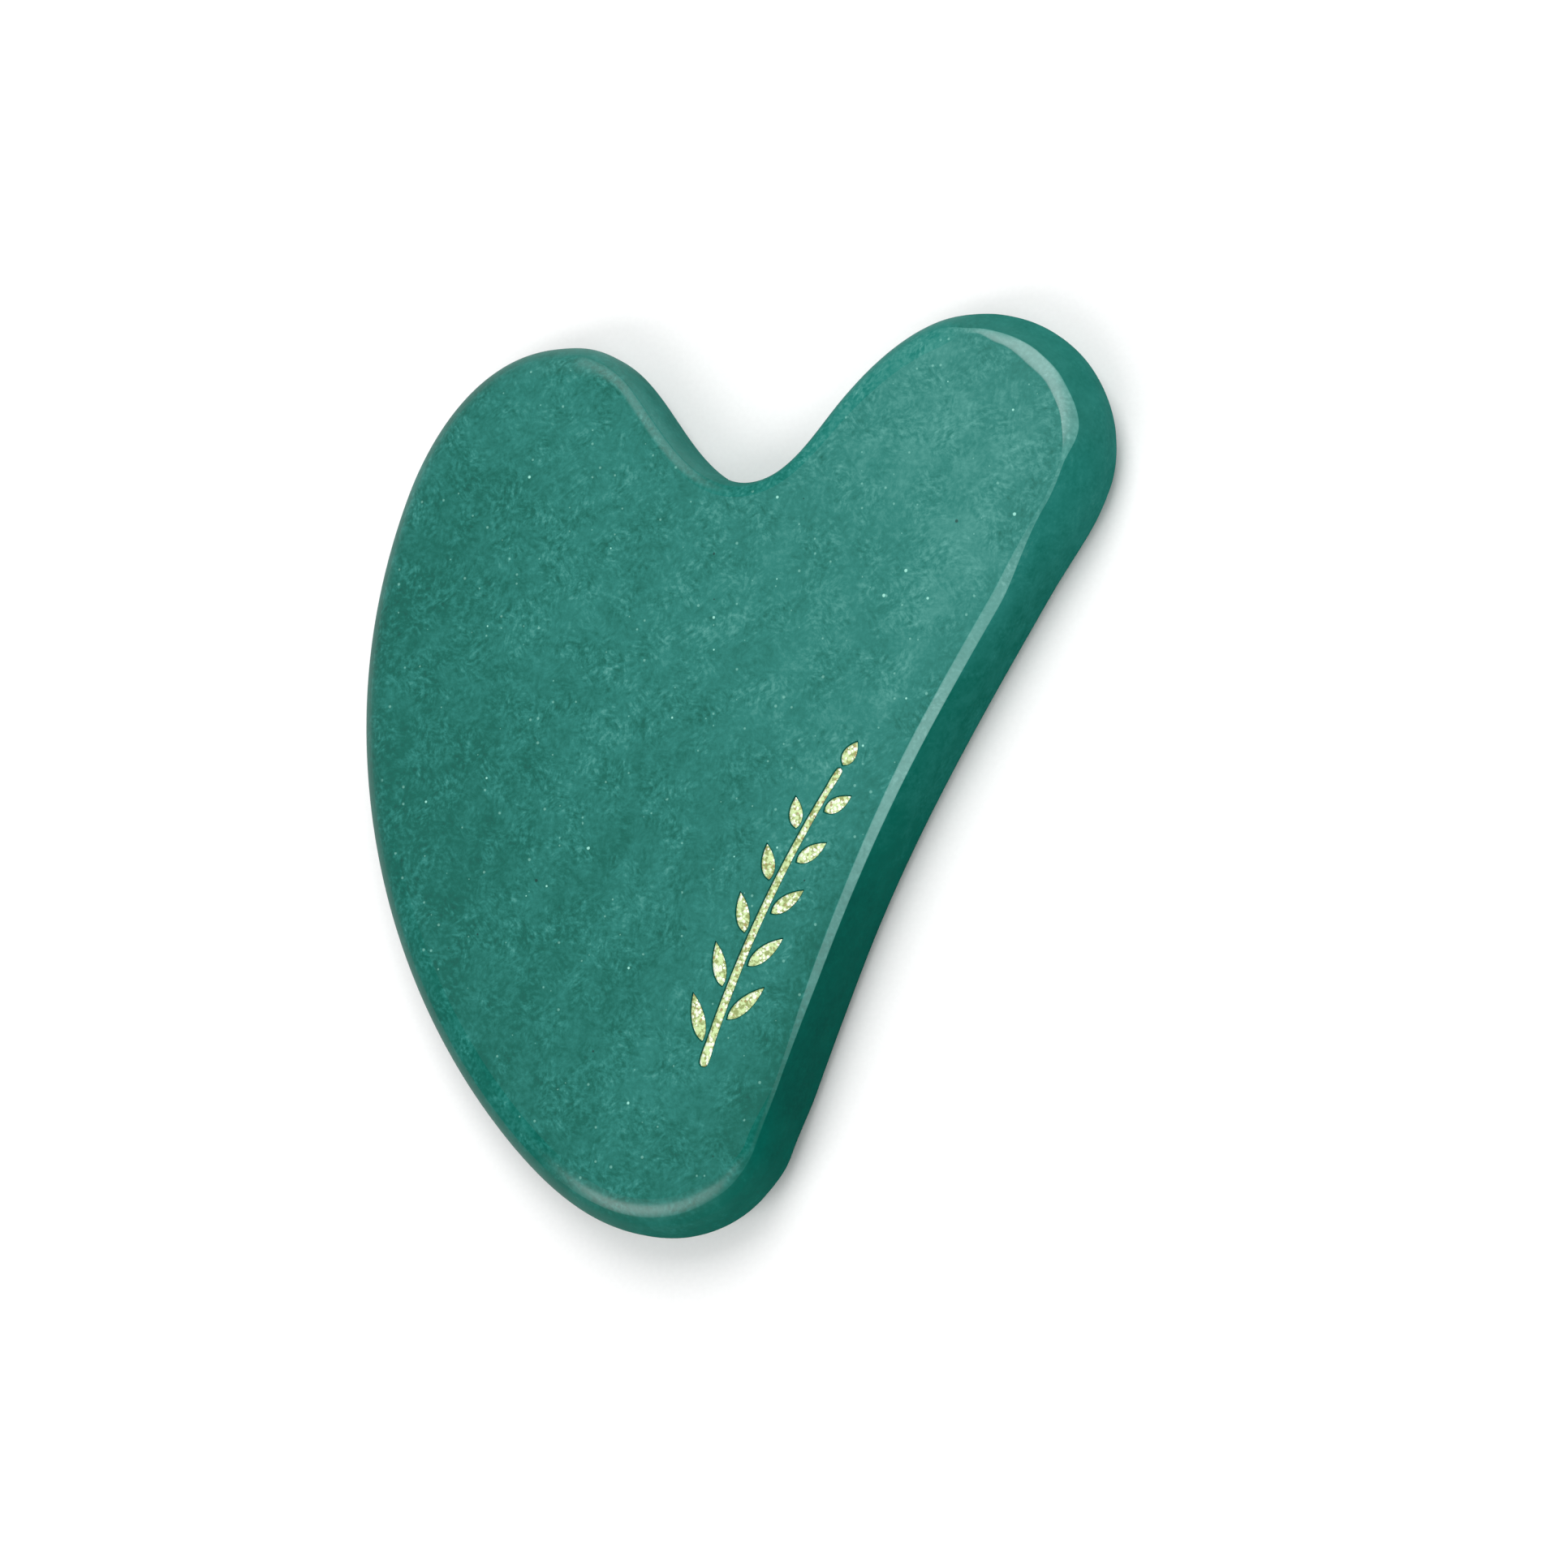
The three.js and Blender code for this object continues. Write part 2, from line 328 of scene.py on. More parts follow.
def fill_flat(rim, holes, spacing):
    """A flat region as points and triangles. Its points are the rim's, each hole's, and a grid's."""
    loops = [rim, *holes]
    rim_points = np.vstack(loops)
    edges = []
    start = 0
    for loop in loops:
        edges += [(start + i, start + (i + 1) % len(loop)) for i in range(len(loop))]
        start += len(loop)
    low, high = rim.min(axis=0), rim.max(axis=0)
    grid = []
    for row, y in enumerate(np.arange(low[1], high[1], spacing * math.sqrt(0.75))):
        shift = spacing / 2 * (row % 2)
        grid += [(x, y) for x in np.arange(low[0] + shift, high[0], spacing)]
    grid = np.array(grid)
    keep = inside(grid, rim)
    for hole in holes:
        keep &= ~inside(grid, hole)
    near = KDTree(len(rim_points))
    for i, (x, y) in enumerate(rim_points):
        near.insert((x, y, 0), i)
    near.balance()
    grid = [p for p in grid[keep] if near.find((*p, 0))[2] > 0.6 * spacing]
    points = np.vstack([rim_points, *grid]) if grid else rim_points
    filled = delaunay_2d_cdt([Vector(p) for p in points / mm], edges, [], 1, 1e-6)
    source = [ids[0] for ids in filled[3]]
    triangles = np.array([[source[i] for i in face] for face in filled[2]])
    centres = points[triangles].mean(axis=1)
    for hole in holes:
        outside = ~inside(centres, hole)
        triangles, centres = triangles[outside], centres[outside]
    return points, triangles


class Shell:
    """The points and faces of one piece, collected in order."""

    def __init__(self):
        self.points = []
        self.faces = []
        self.finish_and_painted_light = {"polish": [], "paleness": []}

    def add_points(self, flat_points, heights, polish=0.0, paleness=0.0):
        """Adds points at a height, or each at its own, and returns their numbers."""
        first = len(self.points)
        heights = np.broadcast_to(heights, len(flat_points))
        self.points += [(x, y, z) for (x, y), z in zip(flat_points, heights)]
        self.finish_and_painted_light["polish"] += list(np.broadcast_to(polish, len(flat_points)))
        self.finish_and_painted_light["paleness"] += list(np.broadcast_to(paleness, len(flat_points)))
        return np.arange(first, len(self.points))

    def add_band(self, upper, lower, facing_out=True):
        """Joins two anticlockwise rings of points with a band of quads."""
        for a, b, c, d in zip(upper, lower, np.roll(lower, -1), np.roll(upper, -1)):
            self.faces.append((a, b, c, d) if facing_out else (d, c, b, a))

    def add_cap(self, ring, holes, rim, hole_rims, spacing, height, facing_up=True, find_finish_and_shade=None):
        """Closes a ring of points already there with a flat face, and leaves the holes open."""
        points, triangles = fill_flat(rim, hole_rims, spacing)
        known = np.concatenate([ring, *holes]).astype(int)
        inner = points[len(known) :]
        finish_and_painted_light = find_finish_and_shade(inner) if find_finish_and_shade else (0.0, 0.0)
        numbers = np.concatenate([known, self.add_points(inner, height, *finish_and_painted_light)])
        for a, b, c in numbers[triangles]:
            self.faces.append((a, b, c) if facing_up else (c, b, a))

    def make_piece(self, name, node, material):
        mesh = bpy.data.meshes.new(name)
        mesh.from_pydata(self.points, [], [[int(i) for i in face] for face in self.faces])
        mesh.shade_smooth()
        mesh.set_sharp_from_angle(angle=sharp_crease)
        for kind, values in self.finish_and_painted_light.items():
            mesh.attributes.new(kind, "FLOAT", "POINT").data.foreach_set("value", values)
        mesh.materials.append(material)
        piece = bpy.data.objects.new(name, mesh)
        bpy.context.scene.collection.objects.link(piece)
        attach(piece, "root")
        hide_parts(node)
        return piece


sharp_crease = math.radians(40)
board_low, board_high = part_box("jade_plate")
half_thickness = (board_high.z - board_low.z) / 2
plate_heights = {round(v.co.z, 6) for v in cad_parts["jade_plate"].data.vertices}
wall_foot = max(z for z in plate_heights if z < board_low.z + half_thickness)
groove_floor = max(z for z in plate_heights if z < board_high.z - 0.01 * mm)

cad_outline = flat_rims("jade_plate", wall_foot)[0]
perimeter = np.linalg.norm(np.roll(cad_outline, -1, axis=0) - cad_outline, axis=1).sum()
outline = spline_points(cad_outline, True, perimeter / outline_points)
outward = outward_from(outline)

# Each of the edge's sizes, at every point of the outline. It eases from place to place.
half_size = np.array(((board_high - board_low) / 2).xy)
stops = []
for _, across, up, sizes in edge_places:
    place = np.array(((board_low + board_high) / 2).xy) + half_size * (across, up)
    stops.append((int(np.argmin(np.linalg.norm(outline - place, axis=1))), sizes))
stops.sort(key=lambda stop: stop[0])
edge = {size: np.zeros(len(outline)) for size in soft}
for (start, sizes), (end, next_sizes) in zip(stops, stops[1:] + stops[:1]):
    length = (end - start) % len(outline)
    for step in range(length):
        t = step / length
        ease = t * t * (3 - 2 * t)
        for size in soft:
            here = (1 - ease) * sizes[size] + ease * next_sizes[size]
            edge[size][(start + step) % len(outline)] = here
for size in ("face_edge", "band_edge", "band_drop", "back_radius"):
    edge[size] *= mm


def face_finish_and_shade(points):
    """The polish and the paleness, with the rim's painted shade, of points on the face or the back."""
    steps = points[:, None] - outline[::4]
    distances = np.linalg.norm(steps, axis=2)
    nearest = 4 * distances.argmin(axis=1)
    depth_in = (distances.min(axis=1) - edge["face_edge"][nearest]) / rim_fade
    fade = np.clip(depth_in, 0, 1)
    fade = fade * fade * (3 - 2 * fade)
    rim_shade_pale = edge["rim_shade_pale"][nearest]
    return face_polish, rim_shade_pale + (face_pale - rim_shade_pale) * fade


# The rings of the edge, from the front face to the back one, as how far each lies in from the
# outline and below the front face, its polish and its paleness, which holds the painted shade and
# highlight.
no_drop = np.zeros(len(outline))
edge_rings = [(edge["face_edge"] + crease_margin, no_drop, face_polish, edge["rim_shade_pale"])]
for u in band_steps:
    inset = edge["face_edge"] + (edge["band_edge"] - edge["face_edge"]) * u
    paleness = edge["rim_shade_pale"] + (edge["band_highlight_pale"] - edge["rim_shade_pale"]) * u ** (edge["belly"] - 1)
    edge_rings.append((inset, edge["band_drop"] * u ** edge["belly"], edge["polish"], paleness))
guard = 1 - crease_margin / (half_thickness - edge["band_drop"])
edge_rings.append(
    (
        edge["band_edge"] * guard ** edge["wall_belly"],
        edge["band_drop"] + crease_margin,
        edge["wall_polish"],
        edge["wall_shade_pale"],
    )
)
for down in np.linspace(0, 1, wall_rings + 1)[1:]:
    left = 1 - down**wall_crowding
    drop = half_thickness - (half_thickness - edge["band_drop"]) * left
    polish = edge["foot_polish"] + (edge["wall_polish"] - edge["foot_polish"]) * left**4
    paleness = edge["foot_shade_pale"] + (edge["wall_shade_pale"] - edge["foot_shade_pale"]) * left**2
    edge_rings.append((edge["band_edge"] * left ** edge["wall_belly"], drop, polish, paleness))
# The back edge's rounding keeps the foot's painted shade until it eases into the back's paleness.
for angle in np.linspace(0, math.pi / 2, back_rings):
    inset = edge["back_radius"] * (1 - math.cos(angle))
    drop = 2 * half_thickness - edge["back_radius"] * (1 - math.sin(angle))
    nearer = math.sin(angle) ** 8  # only the last of the rounding takes the back's polish and paleness
    polish = edge["foot_polish"] + (face_polish - edge["foot_polish"]) * nearer
    paleness = edge["foot_shade_pale"] + (face_pale - edge["foot_shade_pale"]) * nearer
    edge_rings.append((inset, drop, polish, paleness))
edge_rings.append((inset + crease_margin, drop, face_polish, face_pale))

board = Shell()
rings = [
    board.add_points(outline - outward * inset[:, None], board_high.z - drop, polish, paleness)
    for inset, drop, polish, paleness in edge_rings
]
for upper, lower in zip(rings, rings[1:]):
    board.add_band(upper, lower)

# Each groove has upright walls, and a small bevel where they meet the face. The walls and the
# floor are darkened as painted shade.
groove_rims = [smooth_rim(rim, groove_spacing) for rim in flat_rims("jade_plate", board_high.z)[1:]]
bevel_rims = [rim + outward_from(rim) * groove_bevel for rim in groove_rims]
bevel_tops = []
for rim, bevel_rim in zip(groove_rims, bevel_rims):
    top = board.add_points(bevel_rim, board_high.z, *face_finish_and_shade(bevel_rim))
    shoulder = board.add_points(rim, board_high.z - groove_bevel, 0.0, groove_shade_pale)
    foot = board.add_points(rim, groove_floor, 0.0, groove_shade_pale)
    board.add_band(top, shoulder, facing_out=False)
    board.add_band(shoulder, foot, facing_out=False)
    board.add_cap(foot, [], rim, [], groove_grid, groove_floor)
    bevel_tops.append(top)
face_rim = outline - outward * edge_rings[0][0][:, None]
board.add_cap(
    rings[0], bevel_tops, face_rim, bevel_rims, face_grid, board_high.z, find_finish_and_shade=face_finish_and_shade
)
back_rim = outline - outward * edge_rings[-1][0][:, None]
board.add_cap(
    rings[-1], [], back_rim, [], face_grid, board_low.z, facing_up=False,
    find_finish_and_shade=lambda points: (face_polish, face_pale),
)


def add_node(tree, kind, inputs=None, **settings):
    """Adds a shader node. Each input takes a value, or another node's output."""
    node = tree.nodes.new(kind)
    for name, value in settings.items():
        setattr(node, name, value)
    for name, value in (inputs or {}).items():
        if isinstance(value, bpy.types.NodeSocket):
            tree.links.new(value, node.inputs[name])
        else:
            node.inputs[name].default_value = value
    return node


def calculate(tree, operation, a, b=0.0):
    """One sum on one or two values, each a number or a node's output."""
    return add_node(tree, "ShaderNodeMath", {0: a, 1: b}, operation=operation).outputs[0]


def ease_range(tree, value, low, high, to_low=0.0, to_high=1.0):
    """Turns low to high into to_low to to_high, smoothly, and holds it outside them."""
    inputs = {"Value": value, "From Min": low, "From Max": high, "To Min": to_low, "To Max": to_high}
    node = add_node(tree, "ShaderNodeMapRange", inputs, interpolation_type="SMOOTHSTEP")
    return node.outputs["Result"]


def cloud(tree, place, size, detail=2.0, roughness=0.5):
    """Soft noise round a half, with lumps of about this size in millimetres."""
    inputs = {"Vector": place, "Scale": 1 / size, "Detail": detail, "Roughness": roughness}
    return add_node(tree, "ShaderNodeTexNoise", inputs).outputs["Fac"]


def new_group(name, inputs, outputs):
    """An empty shader node group. Each input has a kind of socket and a value to start from."""
    group = bpy.data.node_groups.new(name, "ShaderNodeTree")
    for socket_name, (kind, value) in inputs.items():
        socket = group.interface.new_socket(socket_name, in_out="INPUT", socket_type=kind)
        if value is not None:
            socket.default_value = value
    for socket_name, kind in outputs.items():
        group.interface.new_socket(socket_name, in_out="OUTPUT", socket_type=kind)
    return group, group.nodes.new("NodeGroupInput").outputs, group.nodes.new("NodeGroupOutput")


def use_group(tree, group, **inputs):
    """Places a group in a material with its own values, and returns its outputs."""
    node = add_node(tree, "ShaderNodeGroup", node_tree=group)
    for name, value in inputs.items():
        socket = node.inputs[name.replace("_", " ")]
        if isinstance(value, bpy.types.NodeSocket):
            tree.links.new(value, socket)
        else:
            socket.default_value = value
    return node.outputs


def new_material(name):
    """A material with an object-space place in millimetres and a Principled shader."""
    material = bpy.data.materials.new(name)
    material.use_nodes = True
    tree = material.node_tree
    tree.nodes.clear()
    shader = tree.nodes.new("ShaderNodeBsdfPrincipled")
    add_node(tree, "ShaderNodeOutputMaterial", {"Surface": shader.outputs["BSDF"]})
    coordinates = tree.nodes.new("ShaderNodeTexCoord").outputs
    scaled = add_node(tree, "ShaderNodeVectorMath", {0: coordinates["Object"]}, operation="SCALE")
    scaled.inputs["Scale"].default_value = 1 / mm
    return material, tree, shader.inputs, scaled.outputs["Vector"], coordinates["Normal"]


# Fine mineral fibres that all lie one way: noise drawn out along one direction of the face.
fibre_strokes, given, made = new_group(
    "fibre_strokes",
    {
        "Place": ("NodeSocketVector", None),
        "Turn": ("NodeSocketFloat", 0.0),
        "Length": ("NodeSocketFloat", 1.0),
        "Width": ("NodeSocketFloat", 0.3),
    },
    {"Strength": "NodeSocketFloat"},
)
turned = add_node(
    fibre_strokes,
    "ShaderNodeVectorRotate",
    {"Vector": given["Place"], "Angle": given["Turn"]},
    rotation_type="Z_AXIS",
)
proportions = add_node(
    fibre_strokes,
    "ShaderNodeCombineXYZ",
    {"X": given["Length"], "Y": given["Width"], "Z": given["Width"]},
)
stretched = add_node(
    fibre_strokes,
    "ShaderNodeVectorMath",
    {0: turned.outputs["Vector"], 1: proportions.outputs["Vector"]},
    operation="DIVIDE",
)
strokes = cloud(fibre_strokes, stretched.outputs["Vector"], 1.0, detail=2.0, roughness=0.55)
fibre_strokes.links.new(strokes, made.inputs["Strength"])

# Scattered specks: a share of the cells of a random pattern each hold one round speck.
scattered_specks, given, made = new_group(
    "scattered_specks",
    {
        "Place": ("NodeSocketVector", None),
        "Spacing": ("NodeSocketFloat", 1.0),
        "Share": ("NodeSocketFloat", 0.1),
        "Radius": ("NodeSocketFloat", 0.1),
    },
    {"Mask": "NodeSocketFloat"},
)
spread = add_node(
    scattered_specks,
    "ShaderNodeVectorMath",
    {0: given["Place"], "Scale": calculate(scattered_specks, "DIVIDE", 1.0, given["Spacing"])},
    operation="SCALE",
)
cells = add_node(
    scattered_specks,
    "ShaderNodeTexVoronoi",
    {"Vector": spread.outputs["Vector"], "Scale": 1.0},
    voronoi_dimensions="2D",
)
chances = add_node(scattered_specks, "ShaderNodeSeparateColor", {"Color": cells.outputs["Color"]})
chosen = calculate(scattered_specks, "LESS_THAN", chances.outputs["Red"], given["Share"])
cell_radius = calculate(scattered_specks, "DIVIDE", given["Radius"], given["Spacing"])
uneven_radius = calculate(
    scattered_specks,
    "MULTIPLY",
    cell_radius,
    calculate(scattered_specks, "ADD", chances.outputs["Green"], 0.5),
)
nearness = calculate(
    scattered_specks,
    "SUBTRACT",
    1.0,
    calculate(scattered_specks, "DIVIDE", cells.outputs["Distance"], uneven_radius),
)
round_speck = ease_range(scattered_specks, nearness, 0.0, 0.5)
speck = calculate(scattered_specks, "MULTIPLY", round_speck, chosen)
scattered_specks.links.new(speck, made.inputs["Mask"])

# The jade's colours, from the darkest to the palest, each with its paleness. The painted shade on
# the walls and in the grooves reaches down to the dark end.
jade_colours = [
    (0.0, (0.0005, 0.055, 0.042, 1)),
    (0.3, (0.0015, 0.105, 0.078, 1)),
    (0.5, (0.016, 0.172, 0.143, 1)),
    (0.7, (0.060, 0.258, 0.222, 1)),
    (1.0, (0.200, 0.450, 0.405, 1)),
]
fleck_colour = (0.32, 0.72, 0.61, 1)
pinhole_colour = (0.002, 0.020, 0.016, 1)

# The pattern's sizes are in millimetres, and each contrast is a change of paleness.
fibre_lies = (12, 58, 103, 149)  # in degrees
fibre_length = 0.66
fibre_width = 0.29
patch_sizes = (1.3, 1.7, 2.3)
fibre_contrast = 0.62
lump_contrast = 0.5
cloud_contrast = 0.26
blotch_contrast = 0.24
wall_texture = 0.35  # how much of the texture shows on the wall
dark_texture = 0.75  # how much of its dark side shows
paler_per_millimetre = (0.0040, 0.0013, 0.0)  # to the right and up

jade, tree, jade_shader, place, normal = new_material("polished_jade")
facing = add_node(tree, "ShaderNodeSeparateXYZ", {"Vector": normal}).outputs["Z"]
flatness = ease_range(tree, calculate(tree, "ABSOLUTE", facing), 0.7, 0.97)
on_face = ease_range(tree, calculate(tree, "ABSOLUTE", facing), 0.95, 0.995)


def either(tree, chooser, first, second):
    """The first value where the chooser is 0, the second where it is 1, and a mix between."""
    node = add_node(tree, "ShaderNodeMix", {"Factor": chooser, "A": first, "B": second}, data_type="FLOAT")
    return node.outputs["Result"]


def centred(tree, noise, contrast):
    """Noise that runs round a half, made to run round nothing, and as strong as it says."""
    return calculate(tree, "MULTIPLY", calculate(tree, "SUBTRACT", noise, 0.5), contrast)


# Four lies of fibre take turns over patches a few millimetres wide.
lies = []
for degrees in fibre_lies:
    lie = use_group(
        tree,
        fibre_strokes,
        Place=place,
        Turn=math.radians(degrees),
        Length=fibre_length,
        Width=fibre_width,
    )
    lies.append(lie["Strength"])
choosers = [ease_range(tree, cloud(tree, place, size), 0.42, 0.58) for size in patch_sizes]
fibres = either(
    tree,
    choosers[2],
    either(tree, choosers[0], lies[0], lies[1]),
    either(tree, choosers[1], lies[2], lies[3]),
)
fibres = centred(tree, fibres, fibre_contrast)
lumps = centred(tree, cloud(tree, place, 0.38, detail=3.0, roughness=0.6), lump_contrast)
texture = calculate(tree, "ADD", fibres, lumps)

# The texture is stronger in some patches than in others, stronger on the board's left, and weak on
# the wall, and its pale side shows more than its dark one.
lively = ease_range(tree, cloud(tree, place, 2.8), 0.35, 0.65, 0.6, 1.3)
texture = calculate(tree, "MULTIPLY", texture, lively)
rightward = add_node(tree, "ShaderNodeSeparateXYZ", {"Vector": place}).outputs["X"]
texture = calculate(tree, "MULTIPLY", texture, ease_range(tree, rightward, -28.0, 18.0, 1.12, 0.85))
texture = calculate(tree, "MAXIMUM", texture, calculate(tree, "MULTIPLY", texture, dark_texture))
texture = calculate(tree, "MULTIPLY", texture, either(tree, flatness, wall_texture, 1.0))

# Wide clouds and small blotches lie under the texture, and the colour grows paler to the right
# and up.
clouds = use_group(tree, fibre_strokes, Place=place, Turn=math.radians(-50), Length=15.0, Width=6.0)
clouds = centred(tree, clouds["Strength"], cloud_contrast)
blotches = centred(tree, cloud(tree, place, 1.8, detail=3.0, roughness=0.6), blotch_contrast)
across_board = add_node(
    tree, "ShaderNodeVectorMath", {0: place, 1: paler_per_millimetre}, operation="DOT_PRODUCT"
).outputs["Value"]
# The mesh's paleness holds painted light: painted shade on the face's rim, the walls, the back edge and the
# grooves, and a painted highlight where the band is paler.
paleness = add_node(tree, "ShaderNodeAttribute", attribute_name="paleness").outputs["Fac"]
for layer in (texture, clouds, blotches, across_board):
    paleness = calculate(tree, "ADD", paleness, layer)
ramp = add_node(tree, "ShaderNodeValToRGB", {"Fac": paleness})
ramp.color_ramp.elements.remove(ramp.color_ramp.elements[1])
for number, (position, colour) in enumerate(jade_colours):
    element = ramp.color_ramp.elements[0] if number == 0 else ramp.color_ramp.elements.new(position)
    element.position = position
    element.color = colour

flecks = use_group(tree, scattered_specks, Place=place, Spacing=1.9, Share=0.035, Radius=0.12)["Mask"]
fine_flecks = use_group(tree, scattered_specks, Place=place, Spacing=0.7, Share=0.04, Radius=0.11)["Mask"]
pinholes = use_group(tree, scattered_specks, Place=place, Spacing=2.7, Share=0.03, Radius=0.12)["Mask"]
pale = calculate(tree, "MAXIMUM", flecks, calculate(tree, "MULTIPLY", fine_flecks, 0.35))
pale = calculate(tree, "MULTIPLY", pale, calculate(tree, "MULTIPLY", on_face, 0.8))


def tint(tree, amount, first, second):
    """The first colour, and as much of the second over it as the amount says."""
    node = add_node(tree, "ShaderNodeMix", data_type="RGBA")
    tree.links.new(amount, node.inputs["Factor"])
    for socket, value in ((node.inputs[6], first), (node.inputs[7], second)):
        if isinstance(value, bpy.types.NodeSocket):
            tree.links.new(value, socket)
        else:
            socket.default_value = value
    return node.outputs[2]


stone_colour = tint(tree, pale, ramp.outputs["Color"], fleck_colour)
pinholes = calculate(tree, "MULTIPLY", pinholes, calculate(tree, "MULTIPLY", on_face, 0.7))
stone_colour = tint(tree, pinholes, stone_colour, pinhole_colour)
tree.links.new(stone_colour, jade_shader["Base Color"])
tree.links.new(either(tree, flatness, 0.42, 0.33), jade_shader["Roughness"])
given_polish = add_node(tree, "ShaderNodeAttribute", attribute_name="polish").outputs["Fac"]
tree.links.new(given_polish, jade_shader["Coat Weight"])
jade_shader["Specular IOR Level"].default_value = 0.0
jade_shader["Coat Roughness"].default_value = 0.3
jade_shader["Coat IOR"].default_value = 1.65
fibre_relief = calculate(tree, "MULTIPLY", fibres, calculate(tree, "MULTIPLY", on_face, 0.5))
relief = calculate(tree, "ADD", fibre_relief, cloud(tree, place, 4.0))
bump = add_node(tree, "ShaderNodeBump", {"Height": relief, "Strength": 0.15, "Distance": 0.01 * mm})
tree.links.new(bump.outputs["Normal"], jade_shader["Normal"])

board.make_piece("polished_jade_board", "jade_plate", jade)


# ---------------------------------------------------------------------------------------------
# The gold sprig
# Each groove of the sprig is filled with gold powder paint, wiped level with the face. The paint
# dries grainy, a little lower along its edges, and leaves a hair of bare groove round itself.
# ---------------------------------------------------------------------------------------------
fill_grid = 0.07 * mm
grain_height = 0.016 * mm
edge_sink = 0.05 * mm  # of the paint's rim, under the CAD fill's top
crown_rise = 0.085 * mm
crown_reach = 0.32 * mm  # from the rim to where the crown is full
gold_chance = np.random.default_rng(7)

gold_light = (0.57, 0.72, 0.36, 1)
gold_deep = (0.27, 0.33, 0.11, 1)
gold_cream = (0.88, 0.95, 0.76, 1)
gold_brown = (0.32, 0.23, 0.08, 1)

gold, tree, gold_shader, place, normal = new_material("gold_powder_paint")
drift = ease_range(tree, cloud(tree, place, 0.3, detail=2.0), 0.38, 0.58)
gold_colour = tint(tree, drift, gold_deep, gold_light)
bright_grains = use_group(tree, scattered_specks, Place=place, Spacing=0.3, Share=0.5, Radius=0.17)["Mask"]
dark_grains = use_group(tree, scattered_specks, Place=place, Spacing=0.36, Share=0.25, Radius=0.13)["Mask"]
gold_colour = tint(tree, bright_grains, gold_colour, gold_cream)
gold_colour = tint(tree, calculate(tree, "MULTIPLY", dark_grains, 0.8), gold_colour, gold_brown)
tree.links.new(gold_colour, gold_shader["Base Color"])
tree.links.new(either(tree, bright_grains, 0.25, 0.45), gold_shader["Metallic"])
tree.links.new(either(tree, bright_grains, 0.55, 0.4), gold_shader["Roughness"])
granules = calculate(tree, "ADD", cloud(tree, place, 0.12), calculate(tree, "MULTIPLY", bright_grains, 0.5))
bump = add_node(tree, "ShaderNodeBump", {"Height": granules, "Strength": 0.7, "Distance": 0.04 * mm})
tree.links.new(bump.outputs["Normal"], gold_shader["Normal"])


def gild(name, node):
    """Fills one groove with paint, in the space of its CAD fill."""
    low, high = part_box(node)
    rim = smooth_rim(flat_rims(node, high.z)[0], fill_grid)
    points, triangles = fill_flat(rim, [], fill_grid)
    heights = np.full(len(points), high.z - edge_sink)
    inner = slice(len(rim), None)
    from_rim = np.linalg.norm(points[inner, None] - rim, axis=2).min(axis=1)
    rise = 1 - (1 - np.minimum(from_rim / crown_reach, 1)) ** 2
    heights[inner] += crown_rise * rise + grain_height * (gold_chance.random(len(rise)) - 0.5)
    fill = Shell()
    top = fill.add_points(points, heights)
    fill.faces += [tuple(face) for face in top[triangles]]
    foot = fill.add_points(rim, low.z)
    fill.add_band(top[: len(rim)], foot)
    fill.add_cap(foot, [], rim, [], groove_grid, low.z, facing_up=False)
    fill.make_piece(name, node, gold)


for node in sorted(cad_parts):
    if node.startswith("gold_"):
        gild(node.replace("gold_", "gilded_"), node)


# ---------------------------------------------------------------------------------------------
# The floor
# A wide sheet of matt white card. It isn't part of the board.
# ---------------------------------------------------------------------------------------------
floor_half = 3.0
floor_white = (0.90, 0.90, 0.90, 1)
floor_shade = (0.882, 0.882, 0.882, 1)  # between the card's fibres

card, tree, card_shader, place, normal = new_material("matt_white_card")
tooth = cloud(tree, place, 0.4, detail=3.0)
card_colour = tint(tree, ease_range(tree, tooth, 0.3, 0.7), floor_shade, floor_white)
tree.links.new(card_colour, card_shader["Base Color"])
tree.links.new(ease_range(tree, tooth, 0.3, 0.7, 0.75, 0.9), card_shader["Roughness"])
bump = add_node(tree, "ShaderNodeBump", {"Height": tooth, "Strength": 0.1, "Distance": 0.02 * mm})
tree.links.new(bump.outputs["Normal"], card_shader["Normal"])
floor_mesh = bpy.data.meshes.new("floor_card")
corners = [(x * floor_half, y * floor_half, cad_low.z) for x, y in ((-1, -1), (1, -1), (1, 1), (-1, 1))]
floor_mesh.from_pydata(corners, [], [(0, 1, 2, 3)])
floor_mesh.materials.append(card)
floor = bpy.data.objects.new("floor_card", floor_mesh)
bpy.context.scene.collection.objects.link(floor)
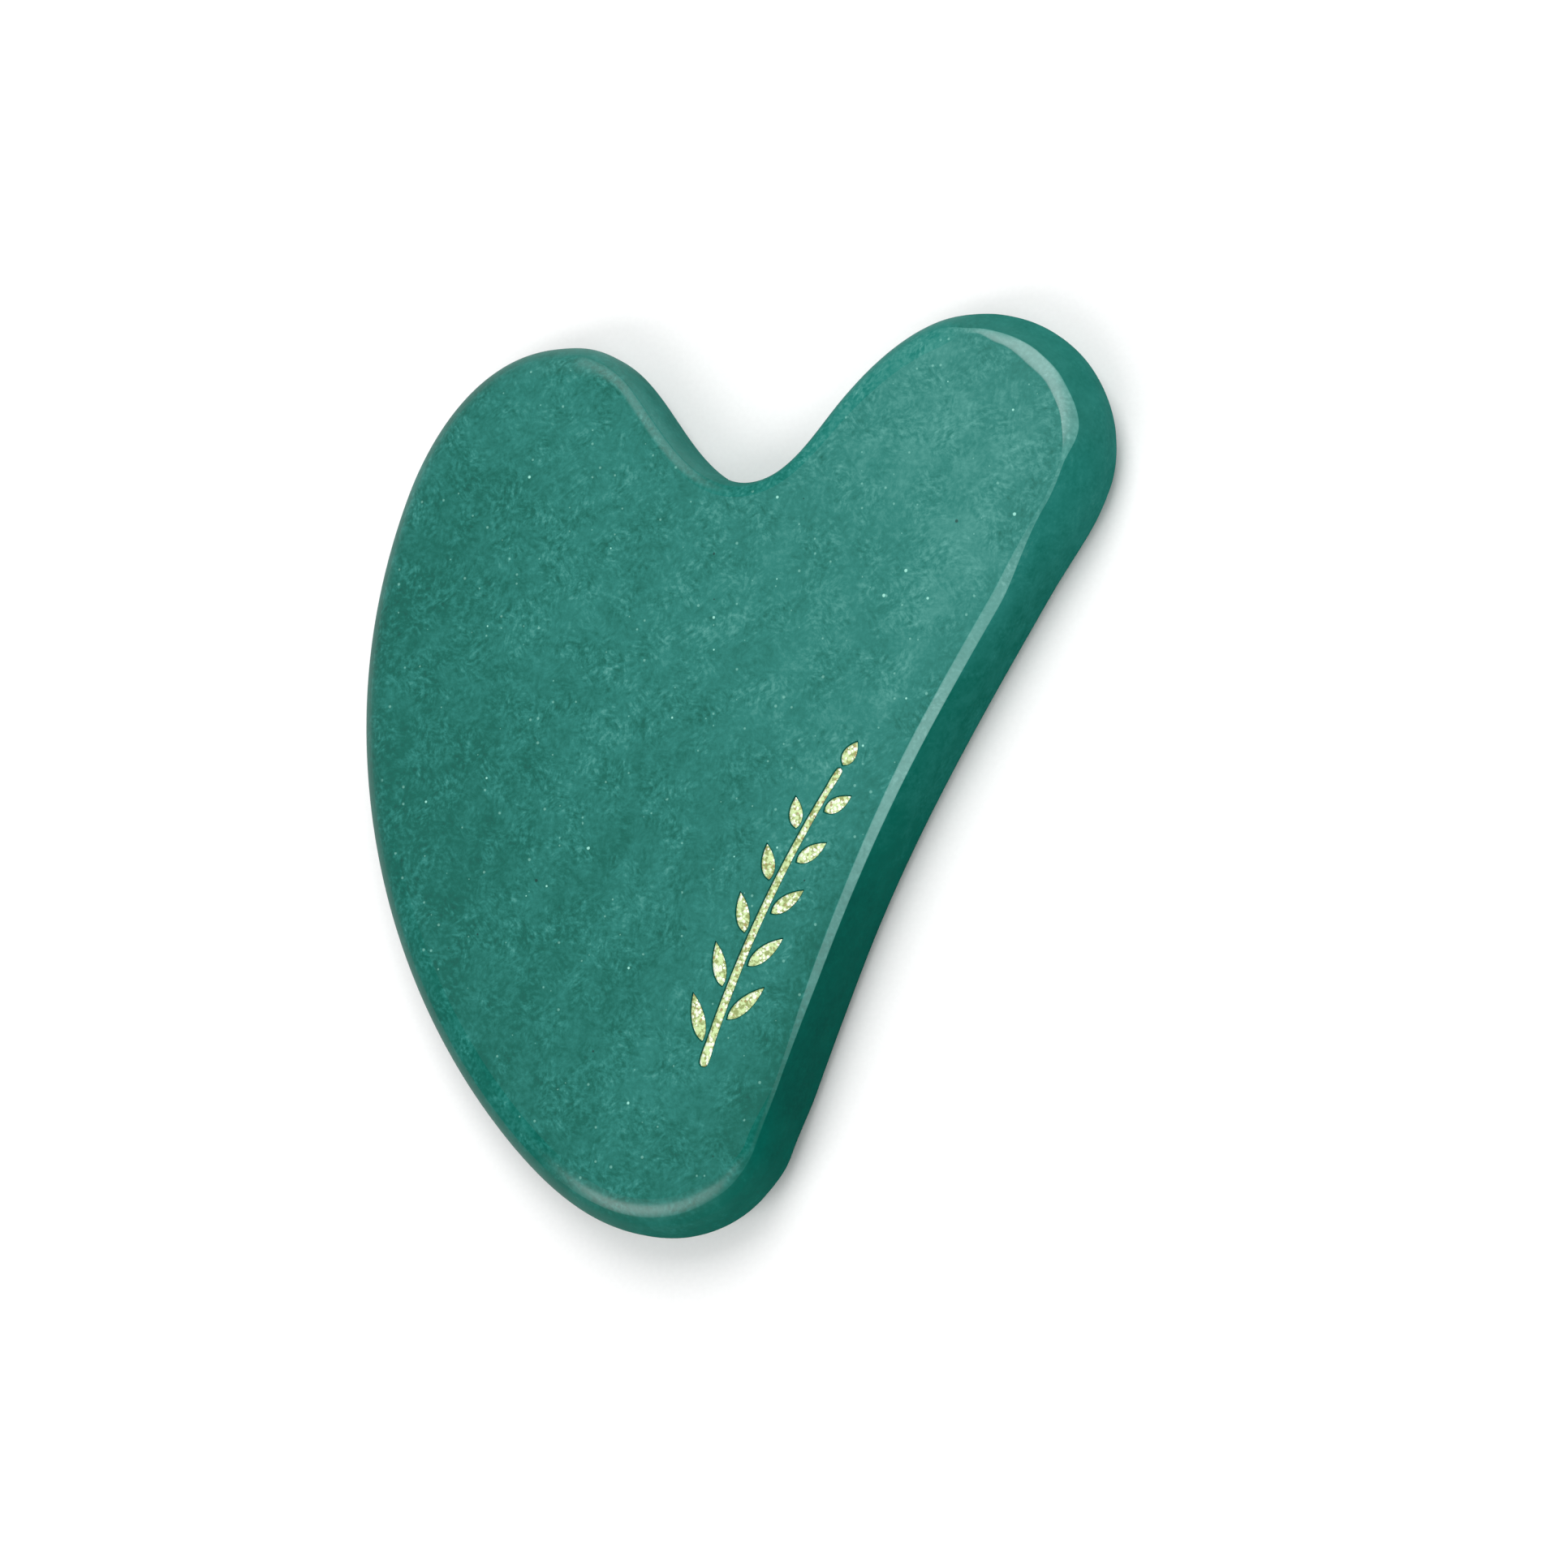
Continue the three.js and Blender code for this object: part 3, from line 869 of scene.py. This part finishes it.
floor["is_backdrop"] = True


# ---------------------------------------------------------------------------------------------
# The light
# A pale room and three softboxes: a wide one that shines along the right lobe and the notch, a
# narrow one along the flank's chamfer, and a low one along the tip. Each is given by its ends.
# ---------------------------------------------------------------------------------------------
softboxes = [
    # name, the way to one end, the way to the other, width as a share of the distance, brightness
    ("lobe_softbox", (0.17, 0.12, 0.978), (0.0, 0.93, 0.37), 0.66, 3.6),
    ("flank_softbox", (0.53, -0.48, 0.70), (0.69, -0.12, 0.71), 0.32, 3.9),
    ("tip_softbox", (-0.80, -0.42, 0.43), (0.18, -0.56, 0.81), 0.5, 3.1),
]
light_distance = 0.6
room_brightness = 0.43
room_seen = 0.95  # how bright the room is behind the floor

for name, one_end, other_end, width, brightness in softboxes:
    span = Vector(other_end) - Vector(one_end)
    back = (Vector(one_end) + Vector(other_end)).normalized()
    side = (span - back * back.dot(span)).normalized()
    light = bpy.data.lights.new(name, "AREA")
    light.shape = "RECTANGLE"
    light.size = span.length * light_distance
    light.size_y = width * light_distance
    light.energy = brightness * math.pi * light.size * light.size_y
    softbox = bpy.data.objects.new(name, light)
    softbox.visible_camera = False
    bpy.context.scene.collection.objects.link(softbox)
    softbox.matrix_world = Matrix.Translation(
        (board_low + board_high) / 2 + back * light_distance
    ) @ Matrix((side, back.cross(side), back)).transposed().to_4x4()

room = bpy.data.worlds.new("studio_room")
room.use_nodes = True
tree = room.node_tree
tree.nodes.clear()
seen = tree.nodes.new("ShaderNodeLightPath").outputs["Is Camera Ray"]
strength = ease_range(tree, seen, 0.0, 1.0, room_brightness, room_seen)
glow = add_node(tree, "ShaderNodeBackground", {"Color": (1, 1, 1, 1), "Strength": strength})
add_node(tree, "ShaderNodeOutputWorld", {"Surface": glow.outputs["Background"]})
bpy.context.scene.world = room
bpy.context.scene.view_settings.view_transform = "Standard"


# ---------------------------------------------------------------------------------------------
# The sizes
# The CAD model's box and this model's, to compare.
# ---------------------------------------------------------------------------------------------
seen_low, seen_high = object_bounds()
sizes = {"cad": [list(cad_low), list(cad_high)], "visual": [list(seen_low), list(seen_high)]}
